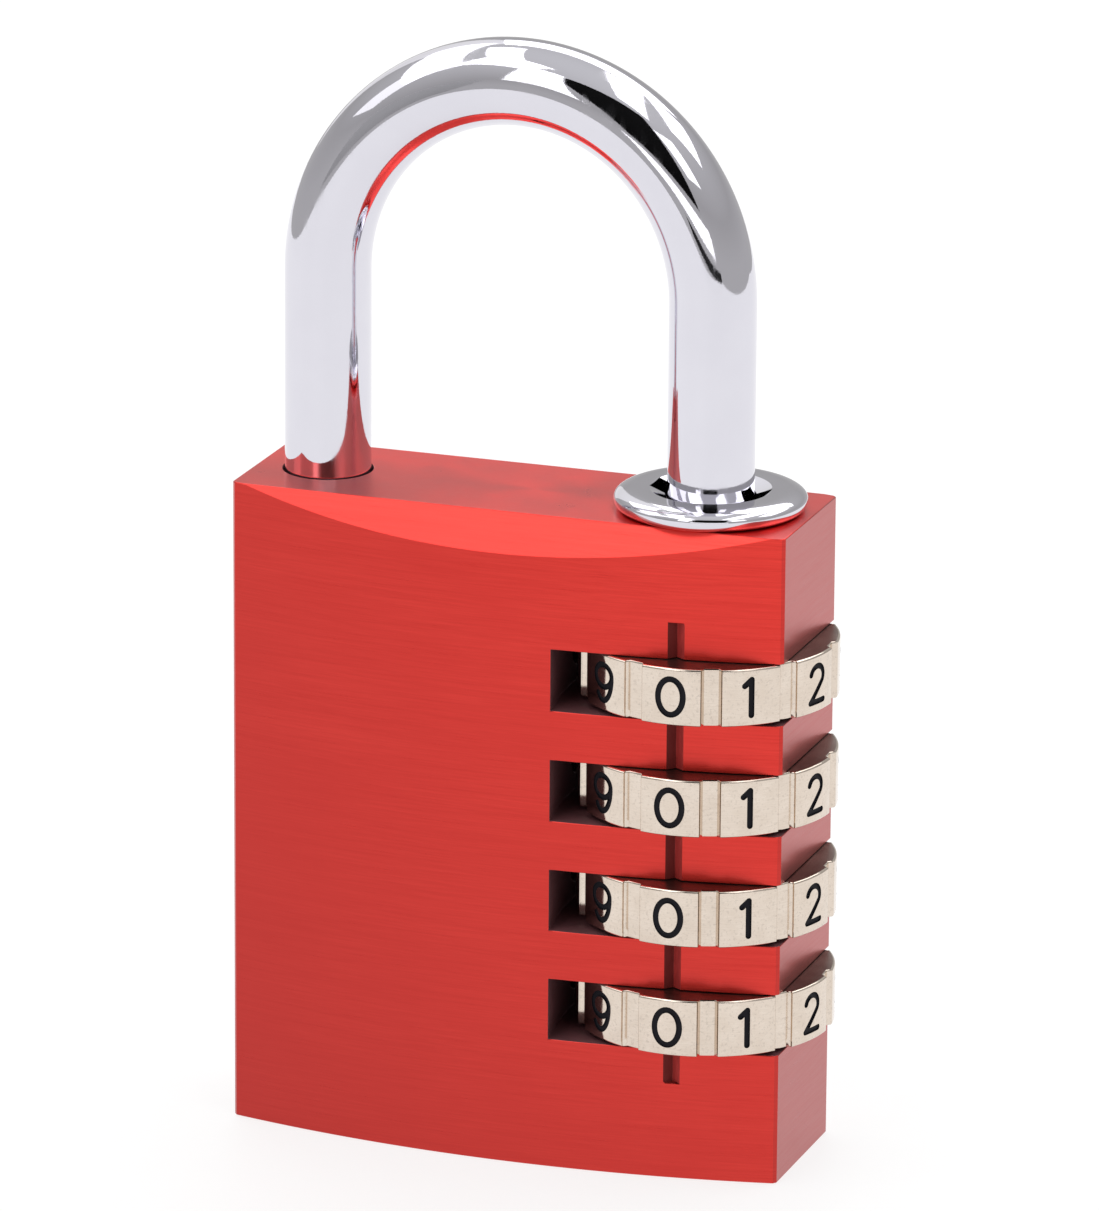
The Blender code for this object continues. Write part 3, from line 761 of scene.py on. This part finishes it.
def collar_profile():
    """A flat top with a round rim, a shallow cone down to the heel's hole, and the spigot below."""
    foot_z = BODY_TOP + COLLAR_GAP
    rim_z = (foot_z + COLLAR_HIGH.z) / 2
    half_rise = COLLAR_HIGH.z - rim_z
    rim_run = COLLAR_RADIUS - COLLAR_FLAT_RADIUS
    foot_run = COLLAR_RADIUS - COLLAR_FOOT_RADIUS
    sink_low = (GUIDE_RADIUS, COLLAR_HIGH.z - COLLAR_SINK_DEPTH)
    sink_high = (COLLAR_SINK_RADIUS, COLLAR_HIGH.z)
    under_rim = list(arc((COLLAR_FOOT_RADIUS, rim_z), (foot_run, half_rise), 0, -90, 14))
    return [
        *rounded(sink_low, (GUIDE_RADIUS, COLLAR_LOW.z), sink_high, SMALL_ROUND),
        *rounded(sink_high, sink_low, (COLLAR_FLAT_RADIUS, COLLAR_HIGH.z), SMALL_ROUND),
        *arc((COLLAR_FLAT_RADIUS, rim_z), (rim_run, half_rise), 90, 0, 18),
        *under_rim[1:],
        (SPIGOT_RADIUS, foot_z),
        (SPIGOT_RADIUS, COLLAR_LOW.z),
        (GUIDE_RADIUS, COLLAR_LOW.z),
    ]


def make_collar(finish):
    """The ring round the heel, with a notch at each side of its hole."""
    collar = mesh_object("chrome_collar", turned(collar_profile(), HEEL_X, 144), [finish], smooth_deg=30)
    half = COLLAR_NOTCH_WIDTH / 2
    left, right = HEEL_X - COLLAR_NOTCH_REACH, HEEL_X + COLLAR_NOTCH_REACH
    outline = [(left, -half), (right, -half), (right, half), (left, half)]
    notches = cutter("collar_notches", prism(outline, COLLAR_LOW.z - PAST, COLLAR_HIGH.z + PAST))
    combine(collar, [notches], smooth_deg=30)
    settle(collar, "lock_body", "shackle_collar")


# ---------------------------------------------------------------- dial wheels


def wheel_outline(inset):
    """Lands and grooves all round, with the lands drawn in by inset."""
    land_radius = DIAL_RADIUS - inset
    floor_radius = DIAL_RADIUS - GROOVE_DEPTH - inset / 2
    line_radius = land_radius - GROOVE_LINE_DEPTH
    shoulder_radius = land_radius - GROOVE_LINE_DEPTH / 2
    half_land, half_floor = LAND_DEG / 2, GROOVE_FLOOR_DEG / 2
    for digit in range(DIGIT_COUNT):
        middle = digit * DIGIT_STEP_DEG - 90
        yield polar(line_radius, middle - half_land - GROOVE_LINE_DEG / 2)
        yield from arc((0, 0), land_radius, middle - half_land, middle + half_land, 14)
        yield polar(line_radius, middle + half_land + GROOVE_LINE_DEG / 2)
        yield polar(shoulder_radius, middle + half_land + GROOVE_LINE_DEG)
        groove = middle + DIGIT_STEP_DEG / 2
        yield from arc((0, 0), floor_radius, groove - half_floor, groove + half_floor, 4)
        yield polar(shoulder_radius, middle + DIGIT_STEP_DEG - half_land - GROOVE_LINE_DEG)


def wheel_blank():
    """One wheel round the origin, before its numerals. Its bore is out of sight, so the wheel is solid."""
    bm = bmesh.new()
    half = DIAL_HEIGHT / 2
    rounding = list(arc((0, half - LAND_EDGE), LAND_EDGE, 90, 0, 4))
    levels = [(LAND_EDGE - reach, height) for reach, height in rounding]
    levels += [(inset, -height) for inset, height in reversed(levels)]
    add_rod(bm, [add_ring(bm, [(x, y, height) for x, y in wheel_outline(inset)]) for inset, height in levels])
    return bm


def digit_strokes(digit, steps=20):
    """The strokes of a plain, round-ended numeral, each a row of points. A numeral is 2 units tall on its
    centre lines. A stroke that ends where it starts is a closed loop."""
    if digit == 0:
        return [arc((0, 0), (0.7, 1.0), 0, 360, 36)]
    if digit == 1:
        return [[(-0.04, 1.0), (-0.04, -1.0)], [(-0.04, 1.0), (-0.42, 0.66)]]
    if digit == 2:
        swan = [*arc((0, 0.43), (0.57, 0.57), 165, -28, steps), (-0.6, -1.0)]
        return [swan, [(-0.6, -1.0), (0.62, -1.0)]]
    if digit == 3:
        upper = arc((-0.04, 0.5), (0.5, 0.5), 150, -90, steps)
        lower = arc((-0.04, -0.5), (0.6, 0.5), 90, -150, steps)
        return [upper, lower]
    if digit == 4:
        top, left = (0.24, 1.0), (-0.68, -0.42)
        return [[top, left], [left, (0.66, -0.42)], [top, (0.24, -1.0)]]
    if digit == 5:
        bowl = arc((-0.06, -0.36), (0.62, 0.64), 142, -145, steps)
        return [[(0.5, 1.0), (-0.4, 1.0)], [(-0.4, 1.0), (-0.54, 0.04)], bowl]
    if digit == 6:
        bowl = arc((0, -0.38), (0.7, 0.62), 0, 360, 32)
        back = arc((0, -0.3), (0.7, 1.3), 180, 48, steps)
        return [bowl, back]
    if digit == 7:
        return [[(-0.58, 1.0), (0.58, 1.0)], [(0.58, 1.0), (-0.2, -1.0)]]
    if digit == 8:
        return [arc((0, 0.52), (0.47, 0.48), 0, 360, 28), arc((0, -0.47), (0.6, 0.53), 0, 360, 32)]
    return [[(-x, -z) for x, z in stroke] for stroke in digit_strokes(6)]


def round_ended(path, half_width):
    """(point, half width) along an open stroke, narrowed to a round cap at each end."""
    turns = [math.radians(degrees) for degrees in (80, 60, 40, 20)]
    caps = []
    for end, inner in ((path[0], path[1]), (path[-1], path[-2])):
        out = (end - inner).normalized() * half_width
        caps.append([(end + out * math.sin(turn), half_width * math.cos(turn)) for turn in turns])
    first, last = caps
    return first + [(point, half_width) for point in path] + last[::-1]


def stroke_edges(stations, closed):
    """The left and right edge of a stroke at each of its stations."""
    count = len(stations)
    for i, (point, half_width) in enumerate(stations):
        before = stations[i - 1][0] if closed or i else point
        after = stations[(i + 1) % count][0] if closed or i + 1 < count else point
        along = (after - before).normalized()
        aside = Vector((-along.y, along.x)) * half_width
        yield point + aside, point - aside


def add_stroke(bm, stroke):
    """One stroke as a closed solid that stands on the wheel's front, deep enough to engrave it."""
    scale = (DIGIT_HEIGHT - DIGIT_STROKE) / 2
    half_width = DIGIT_STROKE / 2
    path = [Vector(point) * scale for point in stroke]
    closed = (path[0] - path[-1]).length < WELD
    if closed:
        stations = [(point, half_width) for point in path[:-1]]
    else:
        stations = round_ended(path, half_width)
    near, far = -DIAL_RADIUS - PAST, -DIAL_RADIUS + DIGIT_DEPTH
    rings = []
    for left, right in stroke_edges(stations, closed):
        corners = [(left, near), (right, near), (right, far), (left, far)]
        rings.append(add_ring(bm, [(p.x, y, p.y) for p, y in corners]))
    if closed:
        join_rings(bm, rings + rings[:1])
    else:
        add_rod(bm, rings)


def numerals_cutter():
    """All ten numerals, each turned to its land."""
    bm = bmesh.new()
    for digit in range(DIGIT_COUNT):
        known = len(bm.verts)
        for stroke in digit_strokes(digit):
            add_stroke(bm, list(stroke))
        bm.verts.ensure_lookup_table()
        turn = Matrix.Rotation(math.tau * digit / DIGIT_COUNT, 4, "Z")
        bmesh.ops.transform(bm, matrix=turn, verts=bm.verts[known:])
    return cutter("numerals_cutter", bm, NUMERAL_FINISH)


def face_off(mesh):
    """Gives a wheel's level ends their own finish, a darker nickel that paints in the shade of the gaps in
    the slots, and shades them flat up to the rounded edge.
    """
    for face in mesh.polygons:
        if abs(face.normal.z) > NEARLY_LEVEL and face.material_index == 0:
            face.use_smooth = False
            face.material_index = END_FINISH


def make_wheels(finishes):
    """The wheels share one engraved mesh, moved to each dial's height. Its finishes are those of the lands,
    of the numerals and of the level ends."""
    blank = mesh_object("wheel_blank", wheel_blank(), finishes, smooth_deg=30)
    combine(blank, [numerals_cutter()], smooth_deg=30, use_self=True)
    face_off(blank.data)
    play = Matrix.Rotation(math.radians(DIAL_PLAY_DEG), 4, "Z")
    for number, z in enumerate(DIAL_Z, 1):
        mesh = blank.data.copy()
        mesh.transform(Matrix.Translation((HEEL_X, 0, z + DIAL_LIFT)) @ play)
        wheel = link_object(f"numbered_wheel_{number}", mesh)
        settle(wheel, f"dial_{number}", f"dial_wheel_{number}")
    bpy.data.objects.remove(blank)


# ---------------------------------------------------------------- pieces inside


def finish_cad_node(name, finish):
    node = frame["nodes"][name]
    node.data.materials.clear()
    node.data.materials.append(finish)
    return node


def make_plug(finish):
    """The disc that closes the bore, with turned rings on its underside."""
    ring_width = PLUG_RADIUS / (PLUG_RINGS + 2)
    profile = [
        (0, PLUG_HIGH.z),
        (PLUG_RADIUS, PLUG_HIGH.z),
        (PLUG_RADIUS, PLUG_LOW.z + PLUG_EDGE),
        (PLUG_RADIUS - PLUG_EDGE, PLUG_LOW.z),
    ]
    for ring in range(PLUG_RINGS, 0, -1):
        radius = ring * ring_width
        profile.append((radius, PLUG_LOW.z))
        profile.append((radius - ring_width / 2, PLUG_LOW.z + PLUG_RING_DEPTH))
    profile.append((0, PLUG_LOW.z))
    plug = mesh_object("bore_plug", turned(profile, HEEL_X), [finish])
    settle(plug, "lock_body", "base_plug")


def make_spring(name, start, end, radius, wire, turns, finish, steps=40):
    """A finer copy of a frame's spring, coiled from round wire between two points."""
    axis = (end - start).normalized()
    across = Vector((0, 1, 0))
    other = axis.cross(across)
    count = turns * steps
    bm = bmesh.new()
    rings = []
    for i in range(count + 1):
        turn = math.tau * i / steps
        outward = across * math.cos(turn) + other * math.sin(turn)
        centre = start.lerp(end, i / count) + outward * radius
        spokes = [polar(wire / 2, 30 * k) for k in range(12)]
        rings.append(add_ring(bm, [centre + outward * a + axis * b for a, b in spokes]))
    add_rod(bm, rings)
    spring = mesh_object(f"fine_{name}", bm, [finish], smooth_deg=50)
    settle(spring, "lock_body", name)


def make_springs(finish):
    """The springs fill the boxes of the frame's own: two round the heel's axis, four level ones."""
    for name, wire, turns in (("hub_spring", HUB_WIRE, HUB_TURNS), ("lift_spring", LIFT_WIRE, LIFT_TURNS)):
        low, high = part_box(name)
        radius = (high.y - low.y) / 2 - wire / 2
        start = Vector((HEEL_X, 0, low.z + wire / 2))
        end = Vector((HEEL_X, 0, high.z - wire / 2))
        make_spring(name, start, end, radius, wire, turns, finish)
    for number, z in enumerate(DIAL_Z, 1):
        name = f"click_spring_{number}"
        low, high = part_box(name)
        radius = (high.z - low.z) / 2 - CLICK_WIRE / 2
        start = Vector((low.x + CLICK_WIRE / 2, 0, z))
        end = Vector((high.x - CLICK_WIRE / 2, 0, z))
        make_spring(name, start, end, radius, CLICK_WIRE, CLICK_TURNS, finish)


def make_hidden_parts():
    brass = turned_metal("machined_brass", (0.62, 0.42, 0.16), (0.80, 0.60, 0.28), (0.25, 0.4))
    steel = turned_metal("bright_steel", (0.48, 0.48, 0.50), (0.62, 0.62, 0.64), (0.12, 0.25))
    plug_red = turned_metal("turned_red", (0.40, 0.03, 0.028), (0.58, 0.05, 0.045), (0.3, 0.45))
    for number in range(1, len(DIAL_NAMES) + 1):
        finish_cad_node(f"code_hub_{number}", brass)
        ball = finish_cad_node(f"click_ball_{number}", steel)
        rounder = ball.modifiers.new("rounder", "SUBSURF")
        rounder.levels = rounder.render_levels = 1
    finish_cad_node("hub_washer", steel)
    make_plug(plug_red)
    make_springs(drawn_wire())


# ---------------------------------------------------------------- studio


def make_floor():
    """A pale, faintly glowing table top."""
    nodes = Nodes("pale_floor")
    grain = nodes.noise(nodes.place((0.4, 0.4, 0.4)), detail=2.0)
    nodes.feed("Roughness", nodes.spread(grain, 0.55, 0.65))
    nodes.fix(base_color=(0.2, 0.2, 0.2, 1.0), specular_ior_level=0.2)
    nodes.fix(emission_color=(1.0, 1.0, 1.0, 1.0), emission_strength=FLOOR_GLOW)
    bm = bmesh.new()
    bmesh.ops.create_grid(bm, x_segments=2, y_segments=2, size=TABLE_HALF)
    floor = mesh_object("floor", bm, [nodes.material])
    floor.location.z = cad_box[0].z - TABLE_GAP
    floor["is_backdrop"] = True


def toward(azimuth, elevation):
    """The direction at an azimuth from the front, growing to the right, and an elevation, in degrees."""
    turn, rise = math.radians(azimuth), math.radians(elevation)
    return Vector((math.sin(turn) * math.cos(rise), -math.cos(turn) * math.cos(rise), math.sin(rise)))


def aim(obj, azimuth, elevation, distance):
    """Puts a light or a card round the shackle, facing it."""
    direction = toward(azimuth, elevation)
    obj.location = Vector((0, 0, BEND_Z)) + direction * distance
    obj.rotation_mode = "QUATERNION"
    obj.rotation_quaternion = direction.to_track_quat("Z", "Y")


def span(degrees, distance=LIGHT_DISTANCE):
    """The width that fills an angle as seen from the lock."""
    return 2 * distance * math.tan(math.radians(degrees / 2))


def softbox(name, azimuth, elevation, wide_deg, high_deg, radiance):
    """A lamp that fills wide_deg by high_deg as seen from the lock, and shines with an even radiance."""
    light = bpy.data.lights.new(name, "AREA")
    light.shape = "RECTANGLE"
    light.size = span(wide_deg)
    light.size_y = span(high_deg)
    light.energy = radiance * math.pi * light.size * light.size_y
    aim(link_object(name, light), azimuth, elevation, LIGHT_DISTANCE)


def dark_card(name, azimuth, elevation, wide_deg, high_deg, shade, distance=LIGHT_DISTANCE):
    """A card that the chrome reflects. The camera doesn't see it."""
    nodes = Nodes(name)
    nodes.fix(base_color=(shade, shade, shade, 1.0), roughness=0.9, specular_ior_level=0.1)
    bm = bmesh.new()
    half = Matrix.Diagonal((span(wide_deg, distance) / 2, span(high_deg, distance) / 2, 1, 1))
    bmesh.ops.create_grid(bm, x_segments=1, y_segments=1, size=1.0, matrix=half)
    card = mesh_object(name, bm, [nodes.material])
    aim(card, azimuth, elevation, distance)
    card.visible_camera = False
    card.visible_shadow = False
    card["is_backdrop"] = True


def make_world():
    """A grey room for the reflections, and white behind the lock."""
    world = bpy.data.worlds.new("studio")
    world.use_nodes = True
    tree = world.node_tree
    room = tree.nodes["Background"]
    coordinates = tree.nodes.new("ShaderNodeTexCoord")
    parts = tree.nodes.new("ShaderNodeSeparateXYZ")
    ramp = tree.nodes.new("ShaderNodeValToRGB")
    tree.links.new(coordinates.outputs["Generated"], parts.inputs["Vector"])
    tree.links.new(parts.outputs["Z"], ramp.inputs["Fac"])
    tree.links.new(ramp.outputs["Color"], room.inputs["Color"])
    level, overhead = ramp.color_ramp.elements
    level.position, level.color = 0.0, (0.50, 0.495, 0.49, 1)
    overhead.position, overhead.color = 1.0, (0.70, 0.70, 0.70, 1)
    darkest = ramp.color_ramp.elements.new(0.25)
    darkest.color = (0.43, 0.425, 0.42, 1)
    white = tree.nodes.new("ShaderNodeBackground")
    white.inputs["Color"].default_value = (1, 1, 1, 1)
    path = tree.nodes.new("ShaderNodeLightPath")
    mix = tree.nodes.new("ShaderNodeMixShader")
    tree.links.new(path.outputs["Is Camera Ray"], mix.inputs["Fac"])
    tree.links.new(room.outputs["Background"], mix.inputs[1])
    tree.links.new(white.outputs["Background"], mix.inputs[2])
    tree.links.new(mix.outputs["Shader"], tree.nodes["World Output"].inputs["Surface"])
    bpy.context.scene.world = world


def make_camera():
    back = toward(VIEW_AZIMUTH, VIEW_ELEVATION)
    data = bpy.data.cameras.new("camera")
    data.lens = LENS_MM
    data.sensor_width = SENSOR_MM
    data.shift_x = SHIFT_X
    data.shift_y = SHIFT_Y
    data.clip_start = VIEW_DISTANCE / 100
    camera = link_object("camera", data)
    camera.location = Vector((0, 0, VIEW_HEIGHT)) + back * VIEW_DISTANCE
    camera.rotation_mode = "QUATERNION"
    roll = Quaternion((0, 0, 1), math.radians(VIEW_ROLL))
    camera.rotation_quaternion = (-back).to_track_quat("-Z", "Y") @ roll
    bpy.context.scene.camera = camera


def make_studio():
    """Softboxes all round above the lock, a black card round the camera, a grey one to its left, and a dark
    strip at the table's edge that stands in for the edge's shadow in the reflections. Each is placed by its
    azimuth, elevation, width and height in degrees."""
    make_floor()
    make_world()
    make_camera()
    softbox("key_light", -40, 58, 24, 20, radiance=1.65)
    softbox("left_box", -98, 47, 62, 20, radiance=1.2)
    softbox("left_low", -72, 29, 22, 17, radiance=0.8)
    softbox("left_top", -88, 69, 40, 12, radiance=1.8)
    softbox("left_back", -141, 25, 22, 50, radiance=0.45)
    softbox("window_strip", -14, 35, 13, 40, radiance=1.5)
    softbox("low_strip", 18, 3, 44, 8, radiance=1.3)
    softbox("right_front", 55, 35, 16, 19, radiance=1.4)
    softbox("right_top", 100, 68, 52, 14, radiance=1.8)
    softbox("right_box", 124, 44, 38, 18, radiance=1.5)
    softbox("back_box", 180, 45, 44, 26, radiance=1.7)
    dark_card("camera_card", 18, 33, 37, 43, shade=0.004)
    dark_card("grey_card", -36, 5, 26, 17, shade=0.5)
    # A dark strip, seen only in reflections, standing in for the table edge's shadow.
    dark_card("table_rail", 25, -5.2, 44, 3, shade=0.02, distance=SHADOW_STRIP_DISTANCE)
    bpy.context.scene.view_settings.view_transform = "Standard"


# ---------------------------------------------------------------- build

make_body([red_anodised(), sawn_red(), index_red()])
plate = chrome()
make_bow(plate)
make_collar(plate)
# The wheels' level ends: the same nickel painted dark, standing in for the shade in the slot gaps.
shaded_wheel_ends = turned_metal("faced_nickel", (0.20, 0.15, 0.13), (0.30, 0.235, 0.205), (0.3, 0.42))
make_wheels([nickel(), numeral_paint(), shaded_wheel_ends])
make_hidden_parts()
make_studio()

sizes = {"cad_box": cad_box, "visual_box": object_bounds()}
{name: [list(corner) for corner in box] for name, box in sizes.items()}
